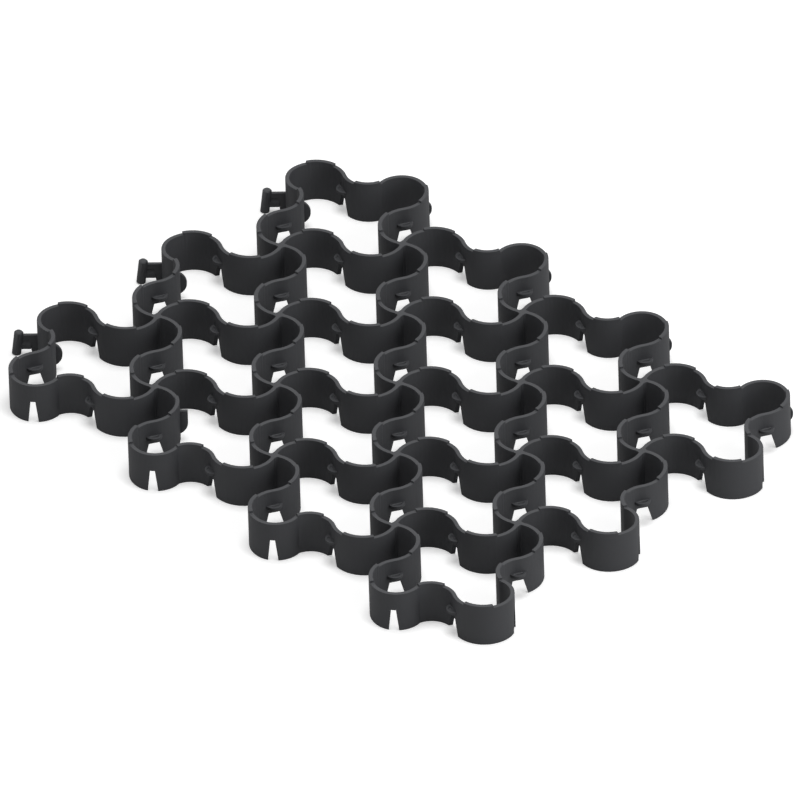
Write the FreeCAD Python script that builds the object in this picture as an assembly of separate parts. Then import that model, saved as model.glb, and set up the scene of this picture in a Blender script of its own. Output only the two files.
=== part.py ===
"""Grass paver grid: one moulded plastic lattice of wavy walls.

The walls run in two families that cross at right angles. Each wall is a chain of
tangent arcs that swings to one side of its line and then to the other, so the
cells between the walls are rounded. The lattice stands at 45 degrees to the sides
of the grid. At the border a wall turns back on itself in a round loop and meets
the last wall of the other family in a crease. The loops of two sides carry slots,
and the loops of the other two carry tees that drop into a neighbour's slots.

A wall is drawn in the lattice frame: its crossing at the origin, the two families
along X and Y. Copies are turned by 45 degrees plus right angles and set on their
crossings. The finished grid stands on Z = 0 round its own middle.
"""
import FreeCAD
import Part
import math
import os

# Layout, millimetres
repeat_length = 150.0    # one repeat along a side of the grid
units_long = 4           # repeats along X
units_short = 3          # repeats along Y

# Wall
height = 40.0            # floor to the raised lengths of the top edge
wall = 3.6               # thickness
swing = 20.6             # how far a wall's middle line leaves its straight line
step_depth = 2.0         # drop of the lowered lengths of the top edge
corner_fillet = 3.0      # in the corners where two walls cross
crossing_low_reach = 24.1    # lowered top edge, from a full crossing to its step
border_low_reach = 25.0      # lowered top edge, from a border crossing to its step
middle_low_reach = 15.8      # lowered top edge, from a wall's middle to its step

# Border loops
loop_radius = 21.2       # middle line of the loop
loop_outset = 2.2        # loop centre beyond a quarter of the pitch, towards the border
loop_side_shift = 2.9    # loop centre off its wall's line
loop_end_angle = 239.6   # polar angle on the loop of the crease where it ends

# Drain notch under the middle of each wall, and the disc above it
notch_height = 15.8
notch_top_width = 9.7
notch_side_angle = 15.0
disc_radius = 7.6
disc_gap = 5.6           # notch to the disc
disc_thickness = 2.8

# Tees on the loops of two sides
web_thickness = 3.0
bar_depth = 5.4          # top bar that joins the pin to the loop
bar_play = 1.0           # room above the bar in a neighbour's slot
pin_length = 23.1
pin_radius = 4.1
pin_cone = 1.2           # height of the pin's coned top, and its step inwards
pin_outset = 17.5        # middle of the pin's foot outside its border crossing
pin_lean = 7.0           # degrees that the pin's top leans towards the loop
plate_outset = 5.7       # plate's free edge under the bar, outside the border crossing
plate_lean = 8.0         # degrees that the free edge runs in towards the floor
tongue_drop = 8.2        # height of the sloping tongue under the bar
tongue_reach = 3.4       # tongue's lower edge from the middle of the web
tongue_thickness = 1.2

# Slots in the loops of two sides, for a neighbour's tees
slot_height = 21.2
slot_play = 0.6          # room on each side of a tee's web at the slot's top
slot_side_angle = 6.4

# Upright fins with a round outer edge, on the outside of the walls
fin_height = 18.0        # middle of a fin above the floor
wall_fin_radius = 12.5
wall_fin_proud = 6.8
crease_fin_drop = 2.0    # middle of a fin beside a crease below the other fins' middle
loop_fin_radius = 9.5
loop_fin_proud = 3.5

# Values worked out from the ones above
pitch = repeat_length / math.sqrt(2.0)
quarter = pitch / 4.0
half_pitch = pitch / 2.0
low_top = height - step_depth
swing_angle = 2.0 * math.atan(swing / quarter)
swing_radius = quarter / math.sin(swing_angle)
loop_reach = quarter - loop_outset
loop_centre = (loop_reach, -loop_side_shift)
end_normal = (math.sin(swing_angle), math.cos(swing_angle))
cut_past = 2.0           # how far a cutter runs past what it cuts

UP = FreeCAD.Vector(0, 0, 1)


def vec(x, y, z=0.0):
    return FreeCAD.Vector(x, y, z)


def polar_angle(centre, point):
    return math.degrees(math.atan2(point[1] - centre[1], point[0] - centre[0]))


def arc_wall(centre, radius, start, end):
    """Upright wall along an arc, from one polar angle to another, in degrees."""
    section = Part.makePolygon([
        vec(radius - wall / 2.0, 0, 0),
        vec(radius + wall / 2.0, 0, 0),
        vec(radius + wall / 2.0, 0, height),
        vec(radius - wall / 2.0, 0, height),
        vec(radius - wall / 2.0, 0, 0),
    ])
    shape = Part.Face(section).revolve(vec(0, 0), UP, end - start)
    shape.rotate(vec(0, 0), UP, start)
    shape.translate(vec(*centre))
    return shape


def swing_arc():
    """Half a wall, from the crossing at the origin to the wall's middle."""
    centre = (quarter, swing - swing_radius)
    spread = math.degrees(swing_angle)
    return arc_wall(centre, swing_radius, 90.0 - spread, 90.0 + spread)


def loop_arcs():
    """Half a wall that comes in from its middle and turns back in a loop.

    The lead-in arc leaves the wall's middle square to the notch and runs into
    the loop without a corner.
    """
    gap = (half_pitch - loop_centre[0], -loop_centre[1])
    reach = gap[0] * end_normal[0] + gap[1] * end_normal[1]
    span = gap[0] ** 2 + gap[1] ** 2 - loop_radius ** 2
    radius = span / (2.0 * (reach - loop_radius))
    centre = (half_pitch - radius * end_normal[0], -radius * end_normal[1])
    join = polar_angle(centre, loop_centre)
    lead_in = arc_wall(centre, radius, polar_angle(centre, (half_pitch, 0.0)), join)
    loop = arc_wall(loop_centre, loop_radius, join, loop_end_angle)
    return [lead_in, loop]


def crease_arc():
    """Centre, radius and polar angles of the arc from a wall's middle to the crease.

    The wall's middle lies half a pitch below the border crossing.
    """
    turn = math.radians(loop_end_angle)
    crease = (loop_centre[0] + loop_radius * math.cos(turn),
              loop_centre[1] + loop_radius * math.sin(turn))
    inward = (-end_normal[1], end_normal[0])
    chord = (crease[0], crease[1] + half_pitch)
    radius = (chord[0] ** 2 + chord[1] ** 2) / (2.0 * (chord[0] * inward[0] + chord[1] * inward[1]))
    centre = (radius * inward[0], radius * inward[1] - half_pitch)
    return centre, radius, polar_angle(centre, (0.0, -half_pitch)), polar_angle(centre, crease)


def place(shape, turn, across, up):
    """Copy of a lattice shape on the crossing that stands at these half units."""
    copy = shape.copy()
    copy.rotate(vec(0, 0), UP, 45.0 + 90.0 * turn)
    copy.translate(vec((across - units_long) * repeat_length / 2.0,
                       (up - units_short) * repeat_length / 2.0))
    return copy


def full_crossings():
    """Half-unit places of the crossings where two walls pass through each other."""
    return [(across, up)
            for across in range(1, 2 * units_long)
            for up in range(1, 2 * units_short)
            if (across + up) % 2 == 1]


def side_crossings():
    """Half-unit places of the border crossings of each side, with their turns."""
    left = [(0, 0, up) for up in range(1, 2 * units_short, 2)]
    near = [(1, across, 0) for across in range(1, 2 * units_long, 2)]
    right = [(2, 2 * units_long, up) for up in range(1, 2 * units_short, 2)]
    far = [(3, across, 2 * units_short) for across in range(1, 2 * units_long, 2)]
    return left, near, right, far


def wedge_cutter(top_width, side_angle, top):
    """Upright cutter along X that widens towards the floor."""
    reach = 2.0 * wall
    top_half = top_width / 2.0
    low_half = top_half + (top + cut_past) * math.tan(math.radians(side_angle))
    outline = Part.makePolygon([
        vec(-reach, -low_half, -cut_past),
        vec(-reach, low_half, -cut_past),
        vec(-reach, top_half, top),
        vec(-reach, -top_half, top),
        vec(-reach, -low_half, -cut_past),
    ])
    return Part.Face(outline).extrude(vec(2.0 * reach, 0))


def notch_cutter():
    """Drain notch, square to the wall at its middle."""
    cutter = wedge_cutter(notch_top_width, notch_side_angle, notch_height)
    cutter.rotate(vec(0, 0), UP, 90.0 - math.degrees(swing_angle))
    cutter.translate(vec(half_pitch, 0))
    return cutter


def slot_cutter():
    """Slot in a loop, on the line of its wall."""
    cutter = wedge_cutter(web_thickness + 2.0 * slot_play, slot_side_angle, slot_height)
    cutter.translate(vec(loop_reach - loop_radius, 0))
    return cutter


def low_cutter(along, across, direction):
    """Block that lowers the top edge, its length turned to a direction."""
    block = Part.makeBox(2.0 * along, 2.0 * across, step_depth + cut_past,
                         vec(-along, -across, low_top))
    block.rotate(vec(0, 0), UP, direction)
    return block


def step_direction(reach):
    """Direction of the wall, in degrees, at a distance from its crossing."""
    chord = 2.0 * math.degrees(math.asin(reach / 2.0 / swing_radius))
    return math.degrees(swing_angle) - chord


def fin(radius, proud):
    """Upright half-round fin on a wall whose middle line is at X = 0."""
    disc = Part.makeCylinder(radius, web_thickness, vec(0, web_thickness / 2.0), vec(0, -1))
    disc.translate(vec(wall / 2.0 + proud - radius, 0, fin_height))
    keep = Part.makeBox(wall / 2.0 + proud, 2.0 * web_thickness, 2.0 * radius,
                        vec(0, -web_thickness, fin_height - radius))
    return disc.common(keep)


def pin():
    """Leaning round pin with a coned top, its foot's middle over the origin."""
    shaft_length = pin_length - pin_cone
    shaft = Part.makeCylinder(pin_radius, shaft_length)
    top = Part.makeCone(pin_radius, pin_radius - pin_cone, pin_cone, vec(0, 0, shaft_length))
    shape = shaft.fuse(top)
    shape.rotate(vec(0, 0), vec(0, 1, 0), pin_lean)
    shape.translate(vec(0, 0, pin_radius * math.sin(math.radians(pin_lean))))
    return shape


def tongue(start_x, end_x, top):
    """Sloping tongue from the bar's rear lower edge down to the front."""
    rear = web_thickness / 2.0
    foot = top - tongue_drop
    outline = Part.makePolygon([
        vec(start_x, rear - tongue_thickness, top),
        vec(start_x, -tongue_reach, foot),
        vec(start_x, -tongue_reach + tongue_thickness, foot),
        vec(start_x, rear, top),
        vec(start_x, rear - tongue_thickness, top),
    ])
    return Part.Face(outline).extrude(vec(end_x - start_x, 0))


def tee():
    """Pin, bar, plate and tongue of a tee, in the frame of its border crossing."""
    wall_x = loop_reach - math.sqrt(loop_radius ** 2 - loop_side_shift ** 2)
    top = slot_height - bar_play
    underside = top - bar_depth
    bar_x = top * math.tan(math.radians(pin_lean)) - pin_outset
    foot_x = underside * math.tan(math.radians(plate_lean)) - plate_outset
    rear = web_thickness / 2.0
    outline = Part.makePolygon([
        vec(wall_x, rear, 0),
        vec(wall_x, rear, top),
        vec(bar_x, rear, top),
        vec(bar_x, rear, underside),
        vec(-plate_outset, rear, underside),
        vec(foot_x, rear, 0),
        vec(wall_x, rear, 0),
    ])
    web = Part.Face(outline).extrude(vec(0, -web_thickness))
    post = pin()
    post.translate(vec(-pin_outset, 0))
    return web.fuse([post, tongue(bar_x, tongue_thickness - plate_outset, underside)])


def crease_fin():
    """Fin on the arc that runs to a crease, in the frame of its border crossing."""
    centre, radius = crease_arc()[:2]
    fin_y = -loop_reach
    wall_x = centre[0] + math.sqrt(radius ** 2 - (fin_y - centre[1]) ** 2)
    shape = fin(wall_fin_radius, wall_fin_proud)
    shape.translate(vec(wall_x, fin_y, -crease_fin_drop))
    return shape


def loop_fin():
    """Fin on the outer side of a loop, in the frame of its border crossing."""
    shape = fin(loop_fin_radius, loop_fin_proud)
    shape.rotate(vec(0, 0), UP, 90.0)
    shape.translate(vec(loop_reach, loop_radius - loop_side_shift))
    return shape


def wall_fin():
    """Fin on the wall below a full crossing, square on top and round below."""
    proud = wall / 2.0 + wall_fin_proud
    upper = Part.makeBox(proud, web_thickness, wall_fin_radius, vec(0, -web_thickness / 2.0, fin_height))
    shape = fin(wall_fin_radius, wall_fin_proud).fuse(upper)
    shape.translate(vec(swing, -quarter))
    return shape


def corner_column():
    """Column on a full crossing whose four hollow sides fill the walls' inside corners."""
    reach = wall / 2.0 + corner_fillet
    column = Part.makeBox(2.0 * reach, 2.0 * reach, low_top, vec(-reach, -reach))
    column = column.cut([Part.makeCylinder(corner_fillet, low_top, vec(x, y))
                         for x in (-reach, reach) for y in (-reach, reach)])
    column.rotate(vec(0, 0), UP, math.degrees(swing_angle))
    return column


def build():
    """The whole grid as one solid."""
    full = [(0, across, up) for across, up in full_crossings()]
    left, near, right, far = side_crossings()
    border = left + near + right + far

    walls = [place(swing_arc(), turn, across, up)
             for across, up in full_crossings() for turn in range(4)]
    for arc in loop_arcs() + [arc_wall(*crease_arc())]:
        walls += [place(arc, *crossing) for crossing in border]
    shape = walls[0].fuse(walls[1:])

    # Wall middles: every wall along the lattice's X starts at a full, left or near
    # crossing, and every wall along its Y at a full, near or right one.
    along_x = full + left + [(0, across, up) for turn, across, up in near]
    along_y = [(1, across, up) for turn, across, up in full + near + right]
    middles = along_x + along_y

    crossing_low = low_cutter(crossing_low_reach, crossing_low_reach, step_direction(crossing_low_reach))
    border_low = low_cutter(border_low_reach, border_low_reach, step_direction(border_low_reach))
    middle_low = low_cutter(middle_low_reach, 3.0 * wall, -step_direction(middle_low_reach))
    middle_low.translate(vec(half_pitch, 0))
    cuts = [place(crossing_low, *crossing) for crossing in full]
    cuts += [place(border_low, *crossing) for crossing in border]
    cuts += [place(middle_low, *middle) for middle in middles]
    cuts += [place(notch_cutter(), *middle) for middle in middles]
    cuts += [place(slot_cutter(), *crossing) for crossing in near + right]
    shape = shape.cut(cuts)

    disc = Part.makeCylinder(disc_radius, disc_thickness,
                             vec(half_pitch, 0, notch_height + disc_gap))
    extras = [place(corner_column(), *crossing) for crossing in full]
    extras += [place(disc, *middle) for middle in middles]
    extras += [place(tee(), *crossing) for crossing in left + far]
    extras += [place(crease_fin(), *crossing) for crossing in left]
    extras += [place(loop_fin(), *crossing) for crossing in far]
    extras.append(place(wall_fin(), 0, 2, 1))
    return shape.fuse(extras).removeSplitter()


os.makedirs("parts", exist_ok=True)
grid = build()
print("solids", len(grid.Solids), "valid", grid.isValid(), "faces", len(grid.Faces))
print("volume", round(grid.Volume), "box", grid.BoundBox)
grid.Solids[0].exportStep("parts/paver_grid.step")
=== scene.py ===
"""Grass paver grid: a moulded lattice of wavy walls in black recycled polyethylene.

The grid is one moulding. Its walls keep the shape and size of the frame, and get
what a mould leaves on them: softened edges, a shallow dish in each disc, and a
fine, slightly uneven matt skin. The stage is a white sweep under soft light.
"""

import math

import bmesh
import bpy
from bpy.props import FloatProperty, FloatVectorProperty, PointerProperty
from mathutils import Matrix, Vector


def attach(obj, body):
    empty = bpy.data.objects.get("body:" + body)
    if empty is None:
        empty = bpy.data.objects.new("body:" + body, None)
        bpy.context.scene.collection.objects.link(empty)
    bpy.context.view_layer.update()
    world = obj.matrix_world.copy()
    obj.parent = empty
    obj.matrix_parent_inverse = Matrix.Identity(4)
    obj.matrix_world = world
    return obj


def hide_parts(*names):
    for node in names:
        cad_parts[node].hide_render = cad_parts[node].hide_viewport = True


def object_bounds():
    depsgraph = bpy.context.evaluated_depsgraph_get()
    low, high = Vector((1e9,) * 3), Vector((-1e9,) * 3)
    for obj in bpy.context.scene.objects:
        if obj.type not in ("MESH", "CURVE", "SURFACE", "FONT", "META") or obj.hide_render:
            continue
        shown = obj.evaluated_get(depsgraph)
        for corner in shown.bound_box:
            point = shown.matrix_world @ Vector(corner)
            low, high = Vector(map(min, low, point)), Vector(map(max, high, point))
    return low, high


bl_info = {
    "name": "Grass paver grid",
    "version": (1, 0, 0),
    "blender": (4, 5, 0),
    "location": "View3D > Sidebar > Paver",
    "description": "Dresses a moulded grass paver grid and sets it on a white sweep",
    "category": "Object",
}

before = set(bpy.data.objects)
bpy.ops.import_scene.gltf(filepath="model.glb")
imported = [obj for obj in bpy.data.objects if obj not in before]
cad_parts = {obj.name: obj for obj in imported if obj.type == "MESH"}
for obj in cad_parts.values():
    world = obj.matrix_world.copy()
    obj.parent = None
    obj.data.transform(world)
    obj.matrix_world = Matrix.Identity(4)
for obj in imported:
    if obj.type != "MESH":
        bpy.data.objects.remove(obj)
CAD_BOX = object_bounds()

GRID_NODE = "paver_grid"
ROUNDED_EDGE = "rounded_edge"
MM = 0.001
UP = Vector((0.0, 0.0, 1.0))

# How corners, edges and faces of the walls are told apart
WELD_DISTANCE = 0.002 * MM            # corners closer than this are one corner
FLAT_ANGLE = math.radians(0.6)        # facets that meet at less than this are one flat face
CREASE_ANGLE = math.radians(140.0)    # an upright valley sharper than this is a crease
SHARP_ANGLE = math.radians(50.0)      # an outer edge sharper than this gets rounded
LEVEL_NORMAL = 0.999                  # least height of a level face's normal, up or down
UPRIGHT_NORMAL = 0.02                 # greatest height of an upright face's normal
UPRIGHT_EDGE = 0.99                   # least climb of an upright edge, as a share of it
SAME_SIDE = 0.05 * MM                 # places along a face closer than this are one side
SAME_WALL = 0.7                       # cosine of about 45 degrees between two normals
DISC_BAND = (0.55, 0.7)               # height of the discs' tops, as shares of the grid's
ROUNDING_SEGMENTS = 2

# Skin of the plastic
FLOW_RANGE = (0.35, 0.65)             # values that the noise of the patches mostly covers
SHEEN_SPREAD = 0.04                   # change of roughness to either side of its middle
TINT_RANGE = (0.93, 1.07)             # darkest and lightest patch, as shares of the colour
GRAIN_HEIGHT = 0.05 * MM
GRAIN_STRENGTH = 0.12
PLASTIC_IOR = 1.5

# Stage, in metres from the frame's origin
LAMP_SIZE = 1.6
KEY_PLACE = (2.1, 0.65, 1.1)
TOP_PLACE = (0.0, 0.0, 3.5)
CAMERA_REACH = 200.0

# Sockets that share their name with another of their node, by number
MIX_FACTOR, MIX_A, MIX_B, MIX_COLOUR = 0, 6, 7, 2    # Mix, between colours
SHADER_FACTOR, SHADER_OFF, SHADER_ON = 0, 1, 2       # Mix Shader
FIRST, SECOND = 0, 1                                 # Add Shader and Math


def linear_rgb(hex_code):
    """Linear colour, with alpha, of an sRGB hex value, by the curve of the sRGB standard."""
    channels = [int(hex_code[i:i + 2], 16) / 255.0 for i in (1, 3, 5)]
    return [c / 12.92 if c <= 0.04045 else ((c + 0.055) / 1.055) ** 2.4
            for c in channels] + [1.0]


WHITE = linear_rgb("#FFFFFF")


class PaverMoulding(bpy.types.PropertyGroup):
    """Sizes of what the mould leaves on the walls."""
    edge_radius: FloatProperty(
        name="Edge radius", description="Rounding of the walls' edges",
        default=0.35 * MM, min=0.0, subtype="DISTANCE", unit="LENGTH")
    dish_rim: FloatProperty(
        name="Dish rim", description="Flat rim left round the dish of a disc",
        default=0.7 * MM, min=0.0, subtype="DISTANCE", unit="LENGTH")
    dish_depth: FloatProperty(
        name="Dish depth", description="How far the dish of a disc is sunk",
        default=1.2 * MM, min=0.0, subtype="DISTANCE", unit="LENGTH")
    dish_draft: FloatProperty(
        name="Dish draft", description="How far the side of the dish leans inwards",
        default=0.2 * MM, min=0.0, subtype="DISTANCE", unit="LENGTH")
    smooth_angle: FloatProperty(
        name="Smooth angle",
        description="Faces that meet at less than this are shaded as one curve",
        default=math.radians(28.0), subtype="ANGLE")


class PaverPlastic(bpy.types.PropertyGroup):
    """Colour and skin of the plastic."""
    colour: FloatVectorProperty(
        name="Colour", description="Carbon-black recycled polyethylene",
        default=linear_rgb("#37383B")[:3], size=3, min=0.0, max=1.0, subtype="COLOR")
    roughness: FloatProperty(
        name="Roughness", description="Roughness of the moulded skin",
        default=0.62, min=0.0, max=1.0, subtype="FACTOR")
    grain_size: FloatProperty(
        name="Grain size", description="Spacing of the spark-eroded grain of the mould",
        default=0.8 * MM, min=0.05 * MM, subtype="DISTANCE", unit="LENGTH")
    flow_size: FloatProperty(
        name="Flow size",
        description="Length of the faint cloudy patches in recycled stock",
        default=60.0 * MM, min=1.0 * MM, subtype="DISTANCE", unit="LENGTH")


class PaverStage(bpy.types.PropertyGroup):
    """Floor, lamps and camera."""
    floor_colour: FloatVectorProperty(
        name="Floor colour", description="Colour of the sweep",
        default=linear_rgb("#F7F7F7")[:3], size=3, min=0.0, max=1.0, subtype="COLOR")
    floor_glow: FloatProperty(
        name="Floor glow", description="Light added to the sweep as the camera sees it",
        default=0.35, min=0.0)
    floor_bounce: FloatProperty(
        name="Floor bounce",
        description="Share of the light that the sweep throws back at the grid",
        default=0.55, min=0.0, max=1.0, subtype="FACTOR")
    floor_size: FloatProperty(
        name="Floor size", description="Side of the square floor",
        default=30.0, min=1.0, subtype="DISTANCE", unit="LENGTH")
    sky_strength: FloatProperty(
        name="Sky strength", description="Even light from all round",
        default=0.27, min=0.0)
    key_power: FloatProperty(
        name="Key power", description="Power of the large lamp on the right, in watts",
        default=30.0, min=0.0, unit="POWER")
    top_power: FloatProperty(
        name="Top power", description="Power of the lamp overhead, in watts",
        default=64.0, min=0.0, unit="POWER")
    azimuth: FloatProperty(
        name="Camera azimuth",
        description="Angle of the camera round the grid, from -Y towards +X",
        default=math.radians(46.98), subtype="ANGLE")
    elevation: FloatProperty(
        name="Camera elevation", description="Angle of the camera above the floor",
        default=math.radians(35.04), subtype="ANGLE")
    roll: FloatProperty(
        name="Camera roll", description="Turn of the picture round its middle",
        default=math.radians(-1.83), subtype="ANGLE")
    view_width: FloatProperty(
        name="View width", description="Width that the picture shows at the grid",
        default=693.3 * MM, min=0.01, subtype="DISTANCE", unit="LENGTH")
    lens: FloatProperty(
        name="Lens", description="Focal length: so long that parallel walls stay parallel",
        default=1600.0, min=10.0, unit="CAMERA")
    aim: FloatVectorProperty(
        name="Aim", description="Point at the middle of the picture",
        default=(18.55 * MM, -16.64 * MM, 37.43 * MM), size=3,
        subtype="TRANSLATION", unit="LENGTH")


def add_node(tree, kind, inputs, settings=None):
    """Adds a node with its settings, and links each input to a socket or sets its value."""
    node = tree.nodes.new(kind)
    for name, value in (settings or {}).items():
        setattr(node, name, value)
    for key, value in inputs.items():
        if isinstance(value, bpy.types.NodeSocket):
            tree.links.new(value, node.inputs[key])
        else:
            node.inputs[key].default_value = value
    return node


def new_material(name):
    """Empty node material and its tree."""
    material = bpy.data.materials.new(name)
    material.use_nodes = True
    material.node_tree.nodes.clear()
    return material, material.node_tree


def moulded_recycled_hdpe(plastic):
    """Black recycled HDPE, injection moulded: a dull skin with a fine grain."""
    # Carbon black hides everything under the surface, so the eye gets only a soft
    # grey sheen from the skin, a little cloudier where the recycled stock flowed.
    material, tree = new_material("Moulded recycled HDPE")
    place = add_node(tree, "ShaderNodeTexCoord", {}).outputs["Object"]
    flow = add_node(tree, "ShaderNodeTexNoise", {
        "Vector": place, "Scale": 1.0 / plastic.flow_size, "Detail": 3.0, "Roughness": 0.5})
    sheen = add_node(tree, "ShaderNodeMapRange", {
        "Value": flow.outputs["Fac"],
        "From Min": FLOW_RANGE[0], "From Max": FLOW_RANGE[1],
        "To Min": plastic.roughness - SHEEN_SPREAD,
        "To Max": plastic.roughness + SHEEN_SPREAD})
    darkest, lightest = [[c * share for c in plastic.colour] + [1.0] for share in TINT_RANGE]
    tint = add_node(tree, "ShaderNodeMix", {
        MIX_FACTOR: flow.outputs["Fac"], MIX_A: darkest, MIX_B: lightest},
        {"data_type": "RGBA"})
    # The real grain is about 0.1 mm, drawn coarser so that a close view shows it.
    grain = add_node(tree, "ShaderNodeTexNoise", {
        "Vector": place, "Scale": 1.0 / plastic.grain_size, "Detail": 2.0, "Roughness": 0.6})
    bump = add_node(tree, "ShaderNodeBump", {
        "Height": grain.outputs["Fac"], "Strength": GRAIN_STRENGTH, "Distance": GRAIN_HEIGHT})
    skin = add_node(tree, "ShaderNodeBsdfPrincipled", {
        "Base Color": tint.outputs[MIX_COLOUR], "Roughness": sheen.outputs["Result"],
        "Normal": bump.outputs["Normal"], "IOR": PLASTIC_IOR, "Metallic": 0.0})
    add_node(tree, "ShaderNodeOutputMaterial", {"Surface": skin.outputs["BSDF"]})
    return material


def is_level(face):
    """Whether a face faces straight up or down."""
    return abs(face.normal.z) > LEVEL_NORMAL


def is_upright(face):
    """Whether a face stands upright."""
    return abs(face.normal.z) < UPRIGHT_NORMAL


def is_upright_edge(start, end):
    """Whether the edge between two points stands upright."""
    along = end - start
    return abs(along.z) > UPRIGHT_EDGE * along.length


def join_flat_faces(mesh):
    """Dissolves the edges and corners inside flat faces and straight edges."""
    bmesh.ops.dissolve_limit(
        mesh, angle_limit=FLAT_ANGLE, verts=mesh.verts, edges=mesh.edges)


def merged_copy(node):
    """Mesh of a frame node with its triangles joined and its flat faces whole."""
    mesh = bmesh.new()
    mesh.from_mesh(node.data)
    bmesh.ops.remove_doubles(mesh, verts=mesh.verts, dist=WELD_DISTANCE)
    join_flat_faces(mesh)
    return mesh


def fill_creases(mesh):
    """Fills the knife-sharp upright grooves at the border creases out to their mouths."""
    valleys = [edge for edge in mesh.edges
               if edge.is_manifold and edge.calc_face_angle_signed() < -CREASE_ANGLE
               and is_upright_edge(edge.verts[0].co, edge.verts[1].co)]
    for valley in valleys:
        for vert in valley.verts:
            mouth = [edge.other_vert(vert).co for edge in vert.link_edges
                     if edge is not valley]
            vert.co = sum(mouth, Vector()) / len(mouth)


def clear_short_edges(mesh, length):
    """Makes flat faces whole, then closes up the edges too short to carry a rounding."""
    join_flat_faces(mesh)
    bmesh.ops.dissolve_degenerate(mesh, dist=length, edges=mesh.edges)


def round_edges(mesh, radius):
    """Rounds the sharp outer edges and marks the narrow faces along them."""
    mark = mesh.faces.layers.int.new(ROUNDED_EDGE)
    sharp = [edge for edge in mesh.edges
             if edge.is_manifold and edge.calc_face_angle_signed() > SHARP_ANGLE]
    bevel = bmesh.ops.bevel(
        mesh, geom=sharp, offset=radius, offset_type="OFFSET", segments=ROUNDING_SEGMENTS,
        profile=0.5, affect="EDGES", clamp_overlap=False, material=-1)
    for face in bevel["faces"]:
        face[mark] = 1


def disc_tops(mesh):
    """Upper faces of the discs: the level ones a little above half the grid's height."""
    low, high = [share * CAD_BOX[1].z for share in DISC_BAND]
    return [face for face in mesh.faces
            if face.normal.z > LEVEL_NORMAL and low < face.calc_center_median().z < high]


def shrink_inwards(mesh, faces, margin, drop):
    """Adds a ring inside each level face and drops what it encloses.

    The ring is as wide as the margin where the outline is nearest to the face's middle.
    """
    bmesh.ops.inset_individual(mesh, faces=faces, thickness=0.0)
    for face in faces:
        middle = face.calc_center_median_weighted()
        reach = min(((edge.verts[0].co + edge.verts[1].co) / 2.0 - middle).length
                    for edge in face.edges)
        for vert in face.verts:
            vert.co = vert.co.lerp(middle, margin / reach)
            vert.co.z -= drop


def dish_discs(mesh, moulding):
    """Leaves a flat rim on the top of each disc and sinks a dish inside it."""
    tops = disc_tops(mesh)
    shrink_inwards(mesh, tops, moulding.dish_rim, 0.0)
    shrink_inwards(mesh, tops, moulding.dish_draft, moulding.dish_depth)


def meeting_faces(data, counts):
    """Edges where two of the faces that count meet, each with those two faces."""
    faces_of_edge = {}
    for face in data.polygons:
        if counts(face):
            for key in face.edge_keys:
                faces_of_edge.setdefault(key, []).append(face)
    return [(key, faces) for key, faces in faces_of_edge.items() if len(faces) == 2]


def upright_sides(data, angle):
    """The smooth sides of each upright face: (place along the face, normal shared there)."""
    sides = {}
    for (a, b), (one, other) in meeting_faces(data, is_upright):
        start, end = data.vertices[a].co, data.vertices[b].co
        if is_upright_edge(start, end) and one.normal.angle(other.normal) < angle:
            shared = (one.normal + other.normal).normalized()
            for face in (one, other):
                place = UP.cross(face.normal).dot(start)
                sides.setdefault(face.index, []).append((place, shared))
    return sides


def upright_normals(data, face, sides):
    """Normals at the corners of an upright face, even along its height.

    They turn steadily from the normal at one side of the face to that at the other.
    """
    tangent = UP.cross(face.normal)
    places = [tangent.dot(data.vertices[index].co) for index in face.vertices]
    left, right = min(places), max(places)
    ends = []
    for end in (left, right):
        shared = [normal for place, normal in sides if abs(place - end) < SAME_SIDE]
        ends.append(shared[0] if shared else None)
    first, last = ends
    if first is None and last is None:
        return [face.normal.copy() for _ in places]
    if first is None:
        first = 2.0 * face.normal - last
    if last is None:
        last = 2.0 * face.normal - first
    return [first.lerp(last, (place - left) / (right - left)).normalized()
            for place in places]


def flat_faces(data, rounded, angle):
    """Faces that run on smoothly into no other, where rounded edges don't count."""
    flat = {face.index for face in data.polygons if not rounded[face.index]}
    for _, (one, other) in meeting_faces(data, lambda face: not rounded[face.index]):
        if one.normal.angle(other.normal) < angle:
            flat -= {one.index, other.index}
    return flat


def even_normals(data, angle):
    """Corner normals that keep flat faces flat and curved walls evenly curved.

    The narrow faces along a rounded edge take the normals of the walls beside them.
    """
    rounded = [item.value for item in data.attributes[ROUNDED_EDGE].data]
    flat = flat_faces(data, rounded, angle)
    sides = upright_sides(data, angle)
    corners = [corner.vector.copy() for corner in data.corner_normals]
    fixed = {}
    for face in data.polygons:
        if is_upright(face):
            normals = upright_normals(data, face, sides.get(face.index, []))
        elif is_level(face) or face.index in flat:
            normals = [face.normal.copy() for _ in face.vertices]
        else:
            continue
        for loop, vertex, normal in zip(face.loop_indices, face.vertices, normals):
            corners[loop] = normal
            fixed.setdefault(vertex, []).append(normal)
    for face in data.polygons:
        if rounded[face.index] and not is_upright(face) and not is_level(face):
            for loop, vertex in zip(face.loop_indices, face.vertices):
                near = [normal for normal in fixed.get(vertex, [])
                        if normal.dot(face.normal) > SAME_WALL]
                if near:
                    corners[loop] = near[0]
    data.normals_split_custom_set(corners)


def paver_grid_mesh(moulding):
    """The grid's walls with softened edges and dished discs."""
    mesh = merged_copy(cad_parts[GRID_NODE])
    fill_creases(mesh)
    clear_short_edges(mesh, moulding.edge_radius)
    round_edges(mesh, moulding.edge_radius)
    dish_discs(mesh, moulding)
    data = bpy.data.meshes.new("moulded_grid")
    mesh.to_mesh(data)
    mesh.free()
    data.shade_smooth()
    data.set_sharp_from_angle(angle=moulding.smooth_angle)
    even_normals(data, moulding.smooth_angle)
    data.attributes.remove(data.attributes[ROUNDED_EDGE])
    return data


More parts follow.
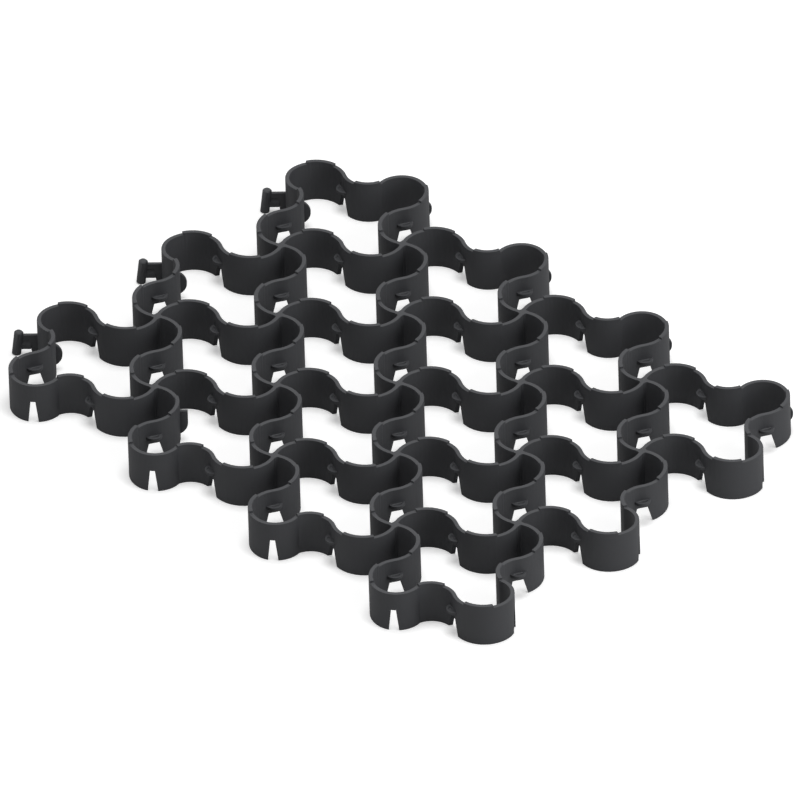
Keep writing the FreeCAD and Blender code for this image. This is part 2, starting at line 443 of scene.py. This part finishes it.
class OBJECT_OT_paver_moulding(bpy.types.Operator):
    """Make the moulded grid and give it its plastic"""
    bl_idname = "object.paver_moulding"
    bl_label = "Moulded grid"

    def execute(self, context):
        scene = context.scene
        data = paver_grid_mesh(scene.paver_moulding)
        data.materials.append(moulded_recycled_hdpe(scene.paver_plastic))
        grid = bpy.data.objects.new("moulded_grid", data)
        scene.collection.objects.link(grid)
        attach(grid, "root")
        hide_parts(GRID_NODE)
        return {"FINISHED"}


def sweep_material(stage):
    """Matt white paper that stays white to the eye and throws little light back."""
    material, tree = new_material("White paper sweep")
    paper = add_node(tree, "ShaderNodeBsdfDiffuse", {
        "Color": list(stage.floor_colour) + [1.0]})
    glow = add_node(tree, "ShaderNodeEmission", {
        "Color": WHITE, "Strength": stage.floor_glow})
    bright_paper = add_node(tree, "ShaderNodeAddShader", {
        FIRST: paper.outputs["BSDF"], SECOND: glow.outputs["Emission"]})
    dim_paper = add_node(tree, "ShaderNodeBsdfDiffuse", {
        "Color": [stage.floor_bounce] * 3 + [1.0]})
    seen = add_node(tree, "ShaderNodeLightPath", {}).outputs["Is Camera Ray"]
    mixed = add_node(tree, "ShaderNodeMixShader", {
        SHADER_FACTOR: seen, SHADER_OFF: dim_paper.outputs["BSDF"],
        SHADER_ON: bright_paper.outputs["Shader"]})
    add_node(tree, "ShaderNodeOutputMaterial", {"Surface": mixed.outputs["Shader"]})
    return material


def add_lamp(scene, name, power, place, target):
    """Adds a large soft square lamp that looks at a point."""
    data = bpy.data.lights.new(name, "AREA")
    data.energy = power
    data.size = LAMP_SIZE
    lamp = bpy.data.objects.new(name, data)
    lamp.location = place
    lamp.rotation_euler = (target - Vector(place)).to_track_quat("-Z", "Y").to_euler()
    scene.collection.objects.link(lamp)


class SCENE_OT_paver_stage(bpy.types.Operator):
    """Set the floor, the lamps and the camera"""
    bl_idname = "scene.paver_stage"
    bl_label = "Stage"

    def execute(self, context):
        scene = context.scene
        stage = scene.paver_stage
        scene.view_settings.view_transform = "Standard"
        self.make_floor(scene, stage)
        self.make_world(scene, stage)
        middle = (CAD_BOX[0] + CAD_BOX[1]) / 2.0
        add_lamp(scene, "Key lamp", stage.key_power, KEY_PLACE, middle)
        add_lamp(scene, "Top lamp", stage.top_power, TOP_PLACE, middle)
        self.make_camera(scene, stage)
        return {"FINISHED"}

    def make_floor(self, scene, stage):
        """Lays the sweep level with the foot of the grid."""
        mesh = bmesh.new()
        bmesh.ops.create_grid(
            mesh, x_segments=1, y_segments=1, size=stage.floor_size / 2.0,
            matrix=Matrix.Translation((0.0, 0.0, CAD_BOX[0].z)))
        data = bpy.data.meshes.new("sweep")
        mesh.to_mesh(data)
        mesh.free()
        data.materials.append(sweep_material(stage))
        floor = bpy.data.objects.new("sweep", data)
        scene.collection.objects.link(floor)

    def make_world(self, scene, stage):
        """Lights the grid evenly from a room that camera, gloss and glass see as white."""
        world = bpy.data.worlds.new("Soft room")
        scene.world = world
        world.use_nodes = True
        tree = world.node_tree
        tree.nodes.clear()
        room = add_node(tree, "ShaderNodeBackground", {
            "Color": WHITE, "Strength": stage.sky_strength})
        white = add_node(tree, "ShaderNodeBackground", {"Color": WHITE, "Strength": 1.0})
        ray = add_node(tree, "ShaderNodeLightPath", {}).outputs
        seen = ray["Is Camera Ray"]
        for kind in ("Is Glossy Ray", "Is Transmission Ray"):
            seen = add_node(tree, "ShaderNodeMath", {FIRST: seen, SECOND: ray[kind]},
                            {"operation": "MAXIMUM"}).outputs["Value"]
        mixed = add_node(tree, "ShaderNodeMixShader", {
            SHADER_FACTOR: seen, SHADER_OFF: room.outputs["Background"],
            SHADER_ON: white.outputs["Background"]})
        add_node(tree, "ShaderNodeOutputWorld", {"Surface": mixed.outputs["Shader"]})

    def make_camera(self, scene, stage):
        """Sets the camera back from its aim until the picture has its width."""
        data = bpy.data.cameras.new("Camera")
        data.lens = stage.lens
        data.clip_end = CAMERA_REACH
        camera = bpy.data.objects.new("Camera", data)
        back = Vector((math.sin(stage.azimuth) * math.cos(stage.elevation),
                       -math.cos(stage.azimuth) * math.cos(stage.elevation),
                       math.sin(stage.elevation)))
        place = Vector(stage.aim) + back * (stage.view_width * stage.lens / data.sensor_width)
        level = (-back).to_track_quat("-Z", "Y").to_matrix()
        turn = level @ Matrix.Rotation(stage.roll, 3, "Z")
        camera.matrix_world = Matrix.LocRotScale(place, turn, None)
        scene.collection.objects.link(camera)
        scene.camera = camera


class VIEW3D_PT_paver(bpy.types.Panel):
    """Lists the grid's sizes, its plastic and its stage, with their operators"""
    bl_idname = "VIEW3D_PT_paver"
    bl_label = "Grass paver grid"
    bl_space_type = "VIEW_3D"
    bl_region_type = "UI"
    bl_category = "Paver"

    def draw(self, context):
        scene = context.scene
        for group, operator in ((scene.paver_moulding, OBJECT_OT_paver_moulding),
                                (scene.paver_plastic, None),
                                (scene.paver_stage, SCENE_OT_paver_stage)):
            box = self.layout.box()
            for name in group.__annotations__:
                box.prop(group, name)
            if operator:
                box.operator(operator.bl_idname)


CLASSES = (PaverMoulding, PaverPlastic, PaverStage,
           OBJECT_OT_paver_moulding, SCENE_OT_paver_stage, VIEW3D_PT_paver)


def register():
    for cls in CLASSES:
        bpy.utils.register_class(cls)
    bpy.types.Scene.paver_moulding = PointerProperty(type=PaverMoulding)
    bpy.types.Scene.paver_plastic = PointerProperty(type=PaverPlastic)
    bpy.types.Scene.paver_stage = PointerProperty(type=PaverStage)


def unregister():
    del bpy.types.Scene.paver_stage
    del bpy.types.Scene.paver_plastic
    del bpy.types.Scene.paver_moulding
    for cls in reversed(CLASSES):
        bpy.utils.unregister_class(cls)


def main():
    register()
    bpy.ops.object.paver_moulding()
    bpy.ops.scene.paver_stage()


if __name__ == "__main__":
    main()
